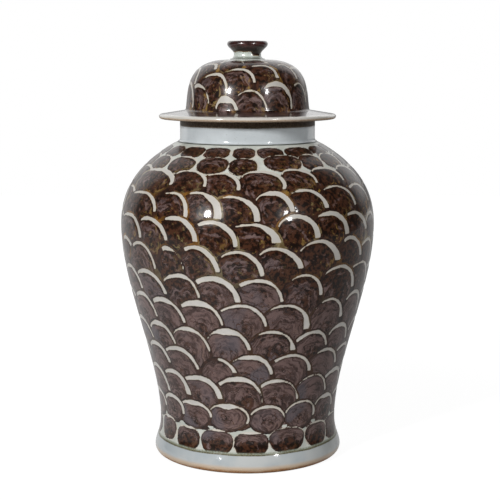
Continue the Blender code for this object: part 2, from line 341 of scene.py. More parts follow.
# The scales of the jar were brushed in thirteen rows, the lower row over the upper one and in each row the
# left scale over its right neighbour. A row begins with the rise of a scale's arch and the fall of its
# blob, both from the blob's middle, the power of its rounding, whether its white runs all round, and the
# pitch in degrees. Each scale that faces the camera follows: the azimuth and height of the arch's peak,
# then of the right end of its white crescent, then of the crescent's beginning, and the crescent's width
# at the left, the top, the right and the end, in millimetres.
JAR_ROWS = [
    [(14, 13, 2.5, 1, 18.6),
     (-59, 442, -49.3, 435.5, 0, 0, 1.2, 1.2, 1.2, 1.2), (-40, 442.5, -29.8, 435, 0, 0, 1.2, 1.2, 1.2, 1.2),
     (-21, 442.5, -11, 435, 0, 0, 1.2, 1.2, 1.2, 1.2), (-2.2, 442.5, 6, 436, 0, 0, 1.2, 1.2, 1.2, 1.2),
     (15.5, 442.5, 25.2, 437, 0, 0, 1.2, 1.2, 1.2, 1.2), (37.5, 442, 49.5, 436, 0, 0, 1.2, 1.2, 1.6, 2),
     (58, 442, 68, 436, 0, 0, 1.2, 1.2, 1.2, 1.2)],
    [(17, 17, 2.25, 1, 19.4),
     (-61, 430, -50.8, 420, 0, 0, 2, 2, 3, 3), (-40.6, 430.5, -30.2, 420, 0, 0, 1.4, 3, 3.4, 1.6),
     (-20, 431, -10.2, 419, 0, 0, 1.2, 1.2, 1.8, 1.6), (-2.3, 430, 6.3, 419, 0, 0, 1.2, 1.4, 1.6, 1.6),
     (21.4, 433.5, 33.4, 421, 0, 0, 1.2, 1.6, 2, 1.6), (41, 433, 50, 421, 0, 0, 0.8, 2, 3, 3),
     (60, 433, 70, 421, 0, 0, 2, 2, 3, 3)],
    [(25, 22, 2.1, 0, 18.6),
     (-54, 413.5, -38.7, 395, -66, 410, 3, 5, 7, 6), (-31.8, 414.5, -20.1, 395, -40.3, 409, 1.6, 3, 4.2, 4),
     (-13.2, 412, -3.3, 391, -20.5, 409, 1.4, 2.6, 4.6, 5),
     (5.4, 415, 18.6, 392, -3.5, 407.5, 1.4, 4, 4.4, 5),
     (24, 416.5, 36.6, 398, 17.3, 410, 1.6, 3.5, 4.2, 3.4), (43.2, 417, 56.7, 398, 36, 413, 2, 4, 3.6, 4),
     (63, 417, 76, 400, 56, 413, 3, 4, 5, 5)],
    [(32, 25, 2.1, 0, 18.3),
     (-56, 383, -43.8, 359, -67, 380, 2, 3, 5, 5), (-36, 386, -26.4, 355, -41, 384.5, 1, 2.5, 5, 6),
     (-23.4, 388, -11.1, 355, -27.4, 386.5, 1.6, 2.6, 8, 10),
     (-7.8, 384, 5.4, 352, -11.2, 382.5, 1, 2.6, 6, 8), (12, 390, 20.7, 364, 3.4, 379, 1, 7, 7.5, 6),
     (27, 391, 38.4, 366, 20, 386.5, 1.4, 3.5, 5.5, 7), (45.6, 393, 57.9, 365, 38, 389, 1.6, 2.6, 3.5, 5),
     (64.5, 392, 76, 365, 57, 389, 3, 3, 5, 6)],
    [(32, 28, 2.0, 0, 17.6),
     (-64.5, 352, -52.8, 322, -74, 346, 2, 4, 5, 6), (-48, 352, -36, 323, -53.5, 346.5, 1, 5, 6, 5),
     (-31.8, 356, -21.3, 325, -38.2, 352.5, 2, 5.5, 7, 7),
     (-15.6, 353, -3.9, 319, -21.4, 347.5, 3.6, 5, 6.6, 6),
     (2.4, 349.5, 14.4, 324, -5.2, 346, 1.4, 3, 8, 13), (21, 360, 32.4, 328, 12.8, 346, 2, 5, 6.6, 8),
     (38.4, 361, 49.5, 329, 31.5, 356, 1, 5.5, 7, 8.5), (54, 357.5, 66, 330, 49, 354.5, 1, 4, 7, 7)],
    [(38, 36, 2.0, 0, 17.4),
     (-54.6, 316.5, -44.1, 282, -61, 310, 3, 4.2, 4, 4), (-37.4, 316, -28.4, 286, -39.5, 311, 4, 6, 1, 0.8),
     (-22.8, 319.5, -11.7, 285, -27.9, 315, 5, 5, 7, 6),
     (-4.2, 314, 7.5, 280, -11.2, 306.5, 2.5, 3, 5.6, 6),
     (10.8, 318.5, 24.9, 289, 5, 309.5, 2.5, 4, 6.6, 7.5), (31.8, 325, 44.7, 295, 22.7, 312, 1.4, 4, 8, 10),
     (49.8, 325.5, 61.5, 296, 46.3, 321, 2, 4.6, 5, 6)],
    [(38, 60, 2.0, 0, 17.8),
     (-69, 280, -57.5, 250, -76, 273, 3, 5, 5, 5), (-52.2, 279.5, -39.6, 249, -60, 272, 3, 6, 5.6, 5),
     (-30.6, 279.5, -21.6, 249, -40.5, 269.5, 3, 5.5, 3, 3),
     (-15.6, 279.5, -3, 245, -23.1, 272.5, 6, 7, 7, 7),
     (4.8, 276.5, 16.5, 244, -3.5, 269.5, 4.6, 5, 3.5, 4),
     (25.8, 280.5, 36.6, 249, 19.6, 273.5, 0.8, 3.5, 4, 5.5), (45, 287.5, 58.8, 253, 36, 277, 1.5, 4, 5, 7),
     (63.5, 286, 76, 253, 54.8, 284, 2, 3, 5, 5)],
    [(38, 60, 2.0, 0, 20.5),
     (-60, 245, -49.8, 213, -68, 238, 4, 6, 4.6, 4), (-43.8, 243.5, -31.1, 211, -51, 237.5, 5.5, 7, 4, 4),
     (-23.4, 245, -11.5, 211, -32.5, 236.5, 5, 8.6, 4, 3),
     (-2.4, 241.5, 9.7, 210, -12.2, 232.5, 2.2, 4, 4.5, 4),
     (17.4, 240, 32, 203, 9.8, 231.5, 0.8, 3.5, 4, 9), (42, 242.5, 54.2, 212, 34, 231, 0.6, 3, 4, 7),
     (62.5, 246, 74, 212, 54.5, 236, 3, 5, 5, 5)],
    [(38, 60, 2.0, 0, 21.2),
     (-71, 206, -59.5, 178, -80, 197, 3, 6, 4, 4), (-51.2, 207.5, -40, 177, -60, 195, 3, 8, 4, 4),
     (-31.1, 205.5, -19.4, 173, -40.4, 193, 1.2, 6, 3.5, 2.6),
     (-10.4, 207.5, 1.7, 177, -20.3, 191.5, 1.6, 9.5, 4.5, 4),
     (11.3, 204, 25.7, 174, 2.4, 191, 0.5, 4, 2.6, 8), (35.6, 199, 47, 174, 25.5, 188, 4.6, 4.5, 4, 3.5),
     (55, 202.5, 67, 175, 46.6, 189.5, 2, 6.5, 4, 4)],
    [(38, 60, 2.0, 0, 21.8),
     (-59.4, 174.5, -47.9, 147, -68, 166, 4, 7, 5, 5), (-40.3, 174.5, -27.2, 144, -50, 166, 4, 6.5, 5, 5),
     (-16, 164, -5.8, 144, -16.4, 163.5, 2, 3.6, 4.5, 7),
     (2.4, 169.5, 14.5, 140.5, -8, 159.5, 0.8, 7, 5, 5), (24, 168, 38.5, 140, 14.5, 161, 4, 4, 3.5, 7),
     (47, 169, 61.5, 142, 40.3, 164, 0.6, 4, 4, 5), (68, 168, 80, 142, 59, 161, 3, 5, 4, 4)],
    [(38, 42, 2.0, 0, 22.2),
     (-68, 138, -54.8, 103, -77, 130, 4, 6, 5, 5), (-48.2, 138, -35.7, 105, -56.2, 131.5, 3, 6, 6, 8),
     (-27.8, 135.5, -14.7, 104.5, -38.4, 132, 4.6, 7, 7, 7),
     (-4.8, 138, 9, 100, -16.4, 127.5, 4.6, 7.5, 4, 1), (16.2, 132.5, 32, 101, 7.4, 125, 4, 4, 1, 3),
     (41.8, 133.5, 55.6, 104, 30.8, 121.5, 1, 2.6, 2.6, 3), (64, 134, 77, 104, 52.3, 126, 4.5, 6, 4, 4)],
    [(21, 21, 2.0, 0, 23.0),
     (-76, 99, -63, 77, -84, 91, 4, 6, 4, 4), (-54, 99.5, -43, 74, -63, 91, 4, 6, 5, 4),
     (-35, 97.5, -22.3, 76, -45.2, 90, 3, 7, 4, 3), (-12.6, 98, 1.4, 70, -23.5, 86.5, 1.6, 8.5, 3, 3),
     (13, 95.5, 23.6, 75, 1.8, 83.5, 3, 4, 3, 1.6), (35.5, 97.5, 47, 72, 24, 83.5, 2, 3, 3, 4),
     (56.5, 98.5, 69, 76, 45.8, 83.5, 2, 6.5, 4, 4)],
    [(15.5, 21, 2.3, 1, 23.0),
     (-61.5, 65, -51, 46, 0, 0, 2, 4, 2, 2), (-41, 59, -30.8, 44, 0, 0, 1.2, 3.6, 1.8, 1.2),
     (-19.4, 60, -8.2, 44, 0, 0, 0.8, 2.6, 1.5, 1), (2.4, 58.5, 13.8, 44, 0, 0, 1, 4, 1.2, 1),
     (26, 62, 38.8, 46, 0, 0, 1, 2, 1.4, 1), (50, 62, 61.5, 45, 0, 0, 1.5, 3, 2.4, 2)],
]

# Where the ends of a crescent lie that runs all round, and how far a scale of the filled-in part may stray:
# along its row as a share of the pitch, up or down in millimetres, in its size and in its white.
FAR_OFF = 999.0
STRAY_ALONG = 0.12
STRAY_UP = 3.0
STRAY_SIZE = (0.94, 1.08)
STRAY_WHITE = (0.85, 1.15)


def laid_out(rows, level, radius, seed):
    """Every scale of a pattern as one line of numbers, from the one brushed first to the one brushed last.

    The scales that the rows name stay where they are, and the rest of the turn is filled at the row's
    pitch, each new scale like one of the named ones but moved, sized and brushed a little differently.
    """
    chance = np.random.default_rng(seed)
    brushed = []
    for (rise, fall, power, closed, pitch), *named in rows:
        named = np.array(named, float)

        # Half widths of the arches: the right one from the crescent's end, the left one from its beginning
        # where that lies more than 3 mm off.
        peak, end = level(named[:, 1]), level(named[:, 3])
        reach = np.radians(named[:, 2] - named[:, 0]) * radius(end)
        drop = np.clip(1.0 - (peak - end) / rise, 0.0, 0.97)
        right = reach / np.sqrt(1.0 - drop ** 2)
        start = np.radians(named[:, 4] - named[:, 0]) * radius(peak)
        fallen = np.clip((peak - level(named[:, 5])) / rise, 0.03, 0.95)
        spread = (1.0 - (1.0 - fallen) ** power) ** (1.0 / power)
        left = np.where(start < -3.0, np.clip(-start / spread, 0.6 * right, 1.6 * right), right)
        cut = peak - end
        if closed:
            left, start, cut = right, start - FAR_OFF, cut + FAR_OFF
        shape = np.stack([peak, right, left, cut, start], axis=1)
        row = np.concatenate([named[:, :1], shape, named[:, 6:]], axis=1)

        # The widest gap between the named scales is the rest of the turn.
        turns = np.sort(named[:, 0] % 360.0)
        gaps = np.diff(np.append(turns, turns[0] + 360.0))
        room, before = gaps.max(), turns[gaps.argmax()]
        count = int(round(room / pitch)) - 1
        like = row[chance.integers(0, len(row), count)].copy()
        step = room / (count + 1)
        along = np.arange(count) + 1.0 + chance.uniform(-STRAY_ALONG, STRAY_ALONG, count)
        like[:, 0] = before + step * along
        like[:, 1] = row[:, 1].mean() + chance.uniform(-STRAY_UP, STRAY_UP, count)
        like[:, 2:4] *= chance.uniform(*STRAY_SIZE, (count, 2))
        like[:, 4:] *= chance.uniform(*STRAY_WHITE, (count, 6))
        row = np.concatenate([row, like])
        row = row[np.argsort(-row[:, 0])]
        sizes = np.tile([float(rise), float(fall), power], (len(row), 1))
        numbers = chance.uniform(1.0, 99.0, (len(row), 1))
        brushed.append(np.concatenate([row, sizes, numbers], axis=1))
    return np.concatenate(brushed)


def eased(value, low, high):
    """0 below low, 1 above high, and 3t^2 - 2t^3 between them."""
    share = np.clip((value - low) / (high - low), 0.0, 1.0)
    return share * share * (3.0 - 2.0 * share)


# Between which directions from a blob's middle, in degrees from straight up towards the right, the width
# of a white crescent passes from the left one to the top one, to the right one and to the end's, and how
# much the slanted cut that it begins at leans across and up.
TO_TOP = (-42.0, -4.0)
TO_RIGHT = (6.0, 42.0)
TO_END = (46.0, 78.0)
CUT_ACROSS = 0.83
CUT_UP = 0.55


def on_scale(scale, azimuth, level, radius):
    """Where points lie on a scale: distances in millimetres out of its arch, out of its white crescent
    and out of its blob, and the place across and up the blob in shares of its half width and height.

    The arch is four quarters of ellipses about the blob's middle, squarer where the power p is over 2.
    A distance is the change of e = (|x/a|^p + |y/b|^p)^(1/p) from 1, divided by the slope of e. The
    crescent lies between the arch and the same ellipse moved in by its width, which changes smoothly
    with the direction from the middle. It begins at a slanted cut and ends at a level one.
    """
    scale = np.moveaxis(scale, -1, 0)
    place, peak, right, left, drop, start, *widths, rise, fall, power, number = scale
    at_left, at_top, at_right, at_end = widths
    turn = (azimuth - np.radians(place) + math.pi) % (2 * math.pi) - math.pi
    across, up = turn * radius, level - peak
    wide = np.where(across > 0, right, left)
    tall = np.where(up > -rise, rise, fall)
    share_x, share_y = across / wide, (up + rise) / tall
    far_x, far_y = np.abs(share_x) + 1e-6, np.abs(share_y) + 1e-6
    size = (far_x ** power + far_y ** power) ** (1.0 / power)
    slope = np.hypot(far_x ** (power - 1.0) / wide, far_y ** (power - 1.0) / tall) * size ** (1.0 - power)
    outside = (size - 1.0) / slope
    bearing = np.degrees(np.arctan2(share_x, share_y))
    width = at_left + (at_top - at_left) * eased(bearing, *TO_TOP)
    width = width + (at_right - at_top) * eased(bearing, *TO_RIGHT)
    width = width + (at_end - at_right) * eased(bearing, *TO_END)
    blob = outside + width
    share = np.minimum(np.abs(start / left), 1.0)
    tip = rise * ((1.0 - share ** power) ** (1.0 / power) - 1.0)
    begun = CUT_ACROSS * (start - across) + CUT_UP * (tip - up)
    white = np.maximum(np.maximum(outside, -blob), np.maximum(begun, -drop - up))
    return outside, white, blob, share_x, share_y, number


# The names of what is noted for the three scales that may show on a face, the one on top first. A scale
# counts up to REACH millimetres out of its arch, and the hand's wobble stays under WOBBLE.
LAYER_NAMES = [(which + "_edges", which + "_place") for which in ("top", "next", "third")]
REACH = 5.0
WOBBLE = 1.4

# In millimetres: how high the paint of an arch and of its blob stands, how far a white crescent sinks in
# it, and the distances noted where no scale comes and on hidden faces, which are all pale.
ARCH_PAINT = 0.16
BLOB_PAINT = 0.20
WHITE_SINK = 0.12
NO_SCALE = 50.0
ALL_WHITE = -9.0

# How far inside their own outlines the arch, the blob and the white begin to rise or sink and are done,
# and how far outside an arch its paint still covers the earlier ones.
ARCH_SLOPE = (-2.6, -1.0)
BLOB_SLOPE = (-0.6, 1.6)
WHITE_SLOPE = (-0.6, 0.8)
PAINT_REACH = 2.2


def brushed_on(outline_level, outline_radius, columns, scales):
    """Height of the paint over the ground at each point of a grid, and for each face the scales that may
    show there, the one on top first: a scale is laid over the earlier ones where its arch reaches."""
    azimuth = np.arange(columns) * (2 * math.pi / columns)
    paint = np.zeros((len(outline_level), columns))
    stack = np.full((len(LAYER_NAMES), len(outline_level) - 1, columns), -1)
    for number, scale in enumerate(scales):
        peak, rise, fall = scale[[1, 10, 11]]
        low, high = peak - rise - fall - REACH, peak + REACH
        rows = np.nonzero((outline_level > low) & (outline_level < high))[0]
        if len(rows) < 2:
            continue
        part = slice(rows[0], rows[-1] + 1)
        where = (azimuth[None], outline_level[part, None], outline_radius[part, None])
        outside, white, blob = on_scale(scale, *where)[:3]
        raised = ARCH_PAINT * eased(-outside, *ARCH_SLOPE) + BLOB_PAINT * eased(-blob, *BLOB_SLOPE)
        raised = raised - WHITE_SINK * eased(-white, *WHITE_SLOPE)
        paint[part] = np.where(outside < PAINT_REACH, raised, paint[part])
        sides = [outside[:-1], outside[1:], np.roll(outside, -1, 1)[:-1], np.roll(outside, -1, 1)[1:]]
        touched = np.minimum.reduce(sides) < REACH
        covered = np.maximum.reduce(sides) < -WOBBLE
        faces = stack[:, rows[0]:rows[-1]]
        faces[1:, touched] = faces[:-1, touched]
        faces[0, touched] = number
        faces[1:, covered] = -1
    return paint, stack


# The bake map's margin and width, its two strips, the narrow strip and the row of fans above them.
MAP_MARGIN = 0.004
MAP_WIDTH = 0.992
STRIP_HEIGHT = 0.44
STRIP_PITCH = 0.45
REST_BASE = 0.905
REST_HEIGHT = 0.075
FAN_WIDTH = 0.49
FAN_STARTS = (0.004, 0.506)
FAN_BASE = 0.984
FAN_TOP = 0.990
SHARP_ANGLE = 50.0


def turned_skin(name, outline, columns, shown=None, dents=None):
    """Closed surface swept round the upright axis: point = (r sin a, -r cos a, z) for each azimuth a.

    The outline starts and ends on the axis, or closes on itself as a ring, and dents moves each of its
    shown rows inwards, square to the outline, by a distance that may change with the azimuth. The map
    for the bake lays the shown rows in two wide strips, one for each half of the turn, and the rest in
    a narrow strip above them.
    """
    poles = outline[0, 0] == 0.0
    body = outline[1:-1] if poles else outline
    count = len(body)
    run = np.roll(outline, -1, 0) - np.roll(outline, 1, 0)
    if poles:
        run = np.gradient(outline, axis=0)[1:-1]
    facing = np.stack([run[:, 1], -run[:, 0]], axis=1) / np.linalg.norm(run, axis=1)[:, None]
    azimuth = np.arange(columns) * (2 * math.pi / columns)
    depth = np.zeros((count, columns))
    if dents is not None:
        depth[shown[0]:shown[1] + 1] = dents
        facing[shown[0]], facing[shown[1]] = facing[shown[0] + 1], facing[shown[1] - 1]
    radius = body[:, :1] - depth * facing[:, :1]
    height = body[:, 1:] - depth * facing[:, 1:]
    points = np.stack([radius * np.sin(azimuth), -radius * np.cos(azimuth), height], axis=2)
    points = points.reshape(-1, 3)

    rows = count - 1 if poles else count
    rank, sector = np.divmod(np.arange(rows * columns), columns)
    here, above = rank * columns, (rank + 1) % count * columns
    after = (sector + 1) % columns
    quads = np.stack([here + sector, here + after, above + after, above + sector], axis=1)
    faces = quads.tolist()
    if poles:
        around, following, last = sector[:columns], after[:columns], (count - 1) * columns
        first_fan = np.stack([np.full(columns, len(points)), following, around], axis=1)
        last_fan = np.stack([last + around, last + following, np.full(columns, len(points) + 1)], axis=1)
        faces += first_fan.tolist() + last_fan.tolist()
        points = np.concatenate([points, [(0.0, 0.0, outline[0, 1]), (0.0, 0.0, outline[-1, 1])]])
    mesh = bpy.data.meshes.new(name)
    mesh.from_pydata(points.tolist(), [], faces)
    mesh.shade_smooth()
    mesh.set_sharp_from_angle(angle=math.radians(SHARP_ANGLE))

    first, final = shown or (0, rows)
    half = columns // 2
    u = sector[:, None] + np.array([0.0, 1.0, 1.0, 0.0])
    v = rank[:, None] + np.array([0.0, 0.0, 1.0, 1.0])
    strip = (sector >= half)[:, None]
    shown_u = MAP_MARGIN + MAP_WIDTH * (u - half * strip) / half
    shown_v = MAP_MARGIN + STRIP_HEIGHT * (v - first) / max(final - first, 1) + STRIP_PITCH * strip
    order = v - (final - first) * (rank >= final)[:, None]
    rest_u = MAP_MARGIN + MAP_WIDTH * u / columns
    rest_v = REST_BASE + REST_HEIGHT * order / max(rows - (final - first), 1)
    front = ((rank >= first) & (rank < final))[:, None]
    places = np.stack([np.where(front, shown_u, rest_u), np.where(front, shown_v, rest_v)], 2).reshape(-1, 2)
    if poles:
        fan_u = FAN_WIDTH * (around[:, None] + np.array([0.0, 1.0, 0.5])) / columns
        fan_v = np.tile([FAN_BASE, FAN_BASE, FAN_TOP], (columns, 1))
        fans = [np.stack([start + fan_u, fan_v], 2).reshape(-1, 2) for start in FAN_STARTS]
        places = np.concatenate([places, *fans])
    uv = mesh.uv_layers.new(name="OFBake")
    uv.uv.foreach_set("vector", places.ravel().astype(np.float32))
    piece = bpy.data.objects.new(name, mesh)
    scene.collection.objects.link(piece)
    return piece


def note_scales(piece, stack, scales, outline_level, outline_radius, columns, first):
    """Writes on each corner of the shown faces where it lies on the scales that may show there."""
    mesh = piece.data
    rank = np.arange(len(outline_level) - 1)[:, None, None]
    sector = np.arange(columns)[None, :, None]
    corner_rank = rank + np.array([0, 0, 1, 1])
    corner_azimuth = (sector + np.array([0, 1, 1, 0])) * (2 * math.pi / columns)
    level, radius = outline_level[corner_rank], outline_radius[corner_rank]
    start = first * columns * 4
    for layer, names in enumerate(LAYER_NAMES):
        index = stack[layer][:, :, None]
        outside, white, blob, across, up, number = on_scale(
            scales[np.maximum(index, 0)], corner_azimuth, level, radius
        )
        outside = np.where(index < 0, NO_SCALE, outside)
        white = np.where(index < 0, NO_SCALE, white)
        number = np.broadcast_to(number, outside.shape)
        for name, numbers in zip(names, ((outside, white, number), (across, up, blob))):
            values = np.full((len(mesh.loops), 3), ALL_WHITE)
            grid = np.stack(np.broadcast_arrays(*numbers), axis=3).reshape(-1, 3)
            values[start:start + len(grid)] = grid
            mesh.attributes.new(name, "FLOAT_VECTOR", "CORNER").data.foreach_set("vector", values.ravel())


def scaled_skin(name, outline, first, rows, columns, scales, depth, share=1.0, fade=1.0):
    """Skin whose shown rows, given by their levels and radii in millimetres, carry scales. first is how
    many rows come before them, the pole not counted. The ground lies a depth in millimetres inside the
    outline, and the paint stands on it by a share of its height."""
    level, radius = rows
    paint, stack = brushed_on(level, radius, columns, scales)
    dents = (depth - share * paint) / 1000.0 * fade
    skin = turned_skin(name, outline, columns, (first, first + len(level) - 1), dents)
    note_scales(skin, stack, scales, level, radius, columns, first)
    return skin


def linear(red, green, blue):
    """A colour given in screen values from 0 to 255, as linear light."""
    screen = np.array([red, green, blue]) / 255.0
    light = np.where(screen <= 0.04045, screen / 12.92, ((screen + 0.055) / 1.055) ** 2.4)
    return tuple(float(share) for share in light)


def mixed(factor, first, second):
    """Colour between two colours, each a wire or three screen values from 0 to 255."""
    first, second = [linear(*part) if isinstance(part, tuple) else part for part in (first, second)]
    return factor.node(
        "ShaderNodeMix",
        {"data_type": "RGBA"},
        {"Factor_Float": factor, "A_Color": first, "B_Color": second},
        "Result_Color",
    )


def either(factor, first, second):
    """Vector between two vector wires."""
    return factor.node(
        "ShaderNodeMix",
        {"data_type": "VECTOR"},
        {"Factor_Float": factor, "A_Vector": first, "B_Vector": second},
        "Result_Vector",
    )


def grain(where, scale, detail=2.0, roughness=0.5):
    """Cloudy noise about 0.5, its scale in lumps per metre where the wire is a place on the object."""
    return where.node(
        "ShaderNodeTexNoise",
        {},
        {"Vector": where, "Scale": scale, "Detail": detail, "Roughness": roughness},
    )


def wander(where, scale, amount):
    """Cloudy noise about 0 that runs from minus to plus half the amount."""
    return (grain(where, scale) - 0.5) * amount


def joined(sheet, x, y, z):
    """Vector wire of three numbers or wires."""
    return sheet.node("ShaderNodeCombineXYZ", {}, {0: x, 1: y, 2: z})


def surfaced(sheet, colour, rough, strength, swell, waves, others):
    """Ends a sheet with its shader, which has its other values from others. The surface is bent by waves
    of a height in metres and a strength from 0 to 1."""
    bump = sheet.node("ShaderNodeBump", {}, {"Strength": strength, "Distance": swell, "Height": waves})
    shader = sheet.node("ShaderNodeBsdfPrincipled", {}, {
        "Base Color": colour, "Roughness": rough, "Normal": bump, **others,
    })
    sheet.node("ShaderNodeOutputMaterial", {}, {"Surface": shader})


def scale_glaze(name, film, honey_and_shade, pale, line_width, swell, haze, finish):
    material, sheet, where = new_sheet(name)
    film, honey_and_shade, pale, line_width = [
        part(where) if callable(part) else part for part in (film, honey_and_shade, pale, line_width)
    ]
    wobble = wander(where, 95.0, 3.6) + wander(where, 420.0, 1.3)

    # The topmost scale whose outline, wobbling like the hand that drew it, reaches the point.
    edges = place = joined(sheet, NO_SCALE, NO_SCALE, 0.0)
    chosen = 0.0
    for names in reversed(LAYER_NAMES):
        these, those = [
            sheet.node("ShaderNodeAttribute", {"attribute_name": noted}, {}, "Vector") for noted in names
        ]
        on = (line_width - (these.parts()[0] + wobble)).ramp(-0.01, 0.01)
        edges, place = either(on, edges, these), either(on, place, those)
        chosen = on.math("MAXIMUM", chosen)
    outside, white, number = edges.parts()
    across, up, blob = place.parts()
    outside, white, blob = outside + wobble, white + wobble * 0.75, blob + wobble

    # Glaze of the ground and of the crescents: grey-green white, cream where it thins at the paint.
    cloud = grain(where, 60.0, 3.0)
    milk = mixed(cloud.ramp(0.35, 0.65), (200, 197, 192), (214, 210, 205))
    # Greyer white where the honey mask is high, on the belly, the shoulder and the dome: painted shade.
    milk = mixed(honey_and_shade * cloud.ramp(0.30, 0.70, 0.55, 0.85), milk, (177, 173, 166))
    pits = grain(where, 900.0, 1.0).ramp(0.66, 0.74) * 0.35
    milk = mixed(pits, milk, (120, 104, 78))
    cream = mixed(white.ramp(-1.4, -0.1) * 0.55, milk, (204, 190, 166))

    # Brush marks run round the blob's middle: noise that is stretched along circles about it, so that
    # each blob shows its own curved strokes, with finer curls over them.
    chance = sheet.node("ShaderNodeTexWhiteNoise", {"noise_dimensions": "1D"}, {"W": number}, 1)
    chance_a, chance_b, chance_c = chance.parts()
    middle_x = across - (chance_a - 0.5) * 0.5
    middle_y = up - (chance_b - 0.5) * 0.4 + 0.15
    ring = length(middle_x, middle_y, 0.002)
    bend = grain(where, 60.0, 2.0, 0.55)
    drawn = ring * 5.5 + (bend - 0.5) * 3.4 + number * 1.7
    round_it = (middle_x / ring * 0.9 + number, middle_y / ring * 0.9, drawn)
    stroke = grain(joined(sheet, *round_it), 1.0, 3.0, 0.6)
    stroke = (stroke - 0.5) * 2.3 + 0.5
    curls = grain(where, 180.0, 3.0, 0.6)
    leather = grain(where, 620.0, 3.0, 0.6)
    marks = stroke * 0.50 + curls * 0.38 + leather * 0.12

    # Dark glossy glaze, with a matt mauve film on it that leaves the middle and the rim of a blob free.
    # The film shows fine arcs and short dark squiggles, and a smooth grey-blue patch on some blobs.
    dark = mixed(curls.ramp(0.41, 0.59), (24, 13, 8), (71, 43, 29))
    drawn_fine = (middle_x / ring * 1.3 + number, middle_y / ring * 1.3, drawn * 1.7)
    arcs = grain(joined(sheet, *drawn_fine), 1.0, 2.0, 0.5)
    tone = leather * 0.2 + arcs * 0.8
    mauve = mixed(tone.ramp(0.40, 0.59), (60, 43, 39), (113, 91, 87))
    mauve = mixed(stroke.ramp(0.60, 0.90) * 0.6, mauve, (124, 104, 101))
    smooth = (grain(where, 22.0, 1.0) - across * 0.12 + up * 0.05).ramp(0.50, 0.60)
    smooth = smooth * chance_c.ramp(0.35, 0.75) * film
    mauve = mixed(smooth * 0.75, mauve, (90, 87, 94))
    worm = (grain(where, 105.0, 2.0, 0.5) - 0.5).math("ABSOLUTE").fall(0.012, 0.040)
    worm = worm * grain(where, 62.0, 1.0).ramp(0.45, 0.55) * ring.fall(0.50, 0.95)
    free = ring.ramp(0.10, 0.60, 0.24, 0.0) + blob.ramp(-5.5, -1.2) * 0.14
    own_film = film - chance_a.ramp(0.72, 0.92) * 0.34
    cover = (marks + own_film * 0.44 + smooth * 0.2 - free).ramp(0.58, 0.72)
    cover = cover * (1.0 - worm * 0.9)
    brown = mixed(cover, dark, mauve)
    own_honey = honey_and_shade * (0.35 + chance_b * 1.1)
    streaks = arcs * 0.45 + grain(where, 150.0, 3.0, 0.6) * 0.55
    thin = (streaks + across * 0.10 - up * 0.07).ramp(0.56, 0.66) * own_honey
    olive = mixed(chance_a, (142, 108, 56), (116, 102, 68))
    brown = mixed(thin * (1.0 - cover * 0.4), brown, olive)
    rim = blob.ramp(-2.4, -0.9) * blob.fall(-0.5, 0.1)
    brown = mixed(rim * 0.7, brown, (38, 23, 18))

    # Outline of the arch and the paint outside the blob: dark red-brown, honey where it pools in a gap.
    lean = grain(where, 120.0, 3.0)
    cord = mixed(lean.ramp(0.35, 0.62), (32, 19, 15), (60, 38, 29))
    pool = grain(where, 34.0, 1.0) + (lean - 0.5) * 0.5 + outside.ramp(-0.5, 2.2) * 0.05
    amber = mixed(lean.ramp(0.42, 0.60), (138, 96, 42), (92, 64, 30))
    khaki = mixed(lean.ramp(0.40, 0.62), (148, 134, 100), (104, 88, 58))
    amber = mixed(grain(where, 13.0, 2.0).ramp(0.46, 0.54), amber, khaki)
    cord = mixed(pool.ramp(0.52, 0.63) * honey_and_shade, cord, amber)
    paint = mixed(blob.ramp(-0.2, 0.3), brown, cord)

    # Ground between the scales: pale at the neck and the foot, honey and olive in between.
    pooled = mixed(lean.ramp(0.4, 0.62), (132, 100, 46), (70, 48, 28))
    bare_ground = mixed(cloud.ramp(0.35, 0.65), (188, 191, 183), (203, 205, 197))
    ground = mixed(pale, pooled, mixed(pits, bare_ground, (120, 104, 78)))
    colour = mixed(white.fall(-0.25, 0.25), paint, cream)
    colour = mixed(chosen, ground, colour)
    colour, rough, coat = finish(where, colour, 0.30 + cover * 0.06 * chosen, 0.42)
    waves = grain(where, 70.0, 2.0) + leather * 0.05 + curls * 0.16
    others = {"IOR": 1.5, "Specular IOR Level": 0.14, "Coat Weight": coat, "Coat Roughness": haze}
    surfaced(sheet, colour, rough, strength=0.6, swell=swell, waves=waves, others=others)
    return material


def jar_film(where):
    """Much film on the lower flank and little on the belly, least at the right of the shoulder."""
    x, _, height = where.parts()
    thinner = x.ramp(0.03, 0.12) * height.ramp(0.20, 0.28) * 0.24
    return height.ramp(0.175, 0.315, 0.88, 0.22) * height.ramp(0.036, 0.054, 0.15, 1.0) - thinner


def jar_honey_and_shade(where):
    """Honey-coloured thin glaze over the belly and the shoulder; it also greys the white there as painted
    shade.
    """
    height = where.parts()[2]
    return height.ramp(0.24, 0.33, 0.12, 0.85) * height.ramp(0.40, 0.43, 1.0, 0.5)


def jar_pale(where):
    """Pale ground at the neck and at the foot."""
    height = where.parts()[2]
    return height.ramp(0.396, 0.412).math("MAXIMUM", height.fall(0.085, 0.115))


def jar_line(where):
    """Width in millimetres of an arch's outline: broad on the flank, none at the neck and the foot."""
    height = where.parts()[2]
    above_foot = height.ramp(0.068, 0.088)
    return height.ramp(0.365, 0.425, 2.6, -0.4) * above_foot - height.ramp(0.068, 0.088, 0.4, 0.0)


# Where one zone of the jar's foot blends into the next and the paint's relief begins, each as two heights,
# and the two radii between which the groove at the neck ends.
SPECKLED_END = (0.0280, 0.0305)
LINE_END = (0.0268, 0.0280)
BAND_END = (0.0248, 0.0258)
TOASTED_END = (0.0075, 0.0135)
CLAY_END = (0.0035, 0.0075)
RELIEF_START = (0.024, 0.030)
GROOVE_END = (0.0984, 0.0996)


